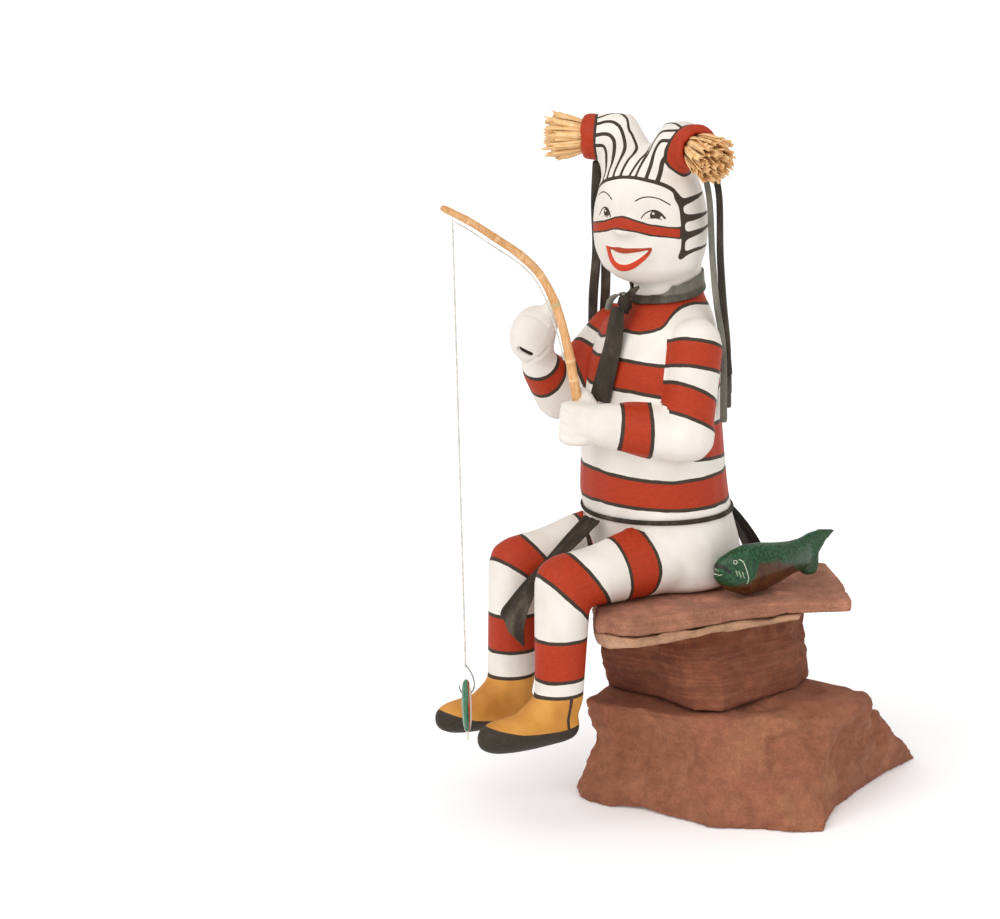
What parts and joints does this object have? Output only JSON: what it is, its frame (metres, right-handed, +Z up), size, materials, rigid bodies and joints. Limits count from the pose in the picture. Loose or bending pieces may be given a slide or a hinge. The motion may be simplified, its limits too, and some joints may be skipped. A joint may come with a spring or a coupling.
{
  "type": "seated pottery clown figure",
  "caption": "Seated painted pottery figure of a pueblo clown that holds a twig fishing rod, on a stack of loose sandstones with a glazed fish beside it.",
  "frame": {"origin": "middle of the flat underside of the base stone, on the ground", "axes": "+Z up, the figure faces -Y and its own left side is +X"},
  "size_m": [0.1896, 0.3092, 0.415],
  "materials": {
    "painted_clay": "matt stone-polished slip with red and dark mineral paint",
    "husk": "dry corn husk, cut rough",
    "leather": "worn dark suede",
    "twig": "peeled twig, satin",
    "thread": "thin twisted thread",
    "wire": "bright wire",
    "green_paint": "gloss paint",
    "fish_glaze": "gloss glaze, green over brown",
    "sandstone": "rough broken sandstone",
    "pale_stone": "rough pale sandstone"
  },
  "bodies": {
    "root": {"figure": "painted_clay", "husk_tuft_left": "husk", "husk_tuft_right": "husk", "rod": "twig", "ribbon_left_1": "leather", "ribbon_left_2": "leather", "ribbon_left_3": "leather", "ribbon_left_4": "leather", "ribbon_right_1": "leather", "ribbon_right_2": "leather", "ribbon_right_3": "leather", "ribbon_right_4": "leather", "neckerchief": "leather", "belt": "leather", "loincloth_front": "leather", "loincloth_back": "leather", "rod_line": "thread", "fishing_line": "thread", "hook": "wire", "lure": "green_paint", "base_stone": "sandstone", "block_stone": "sandstone", "pale_slab": "pale_stone", "top_slab": "sandstone", "fish": "fish_glaze"}
  },
  "joints": []
}
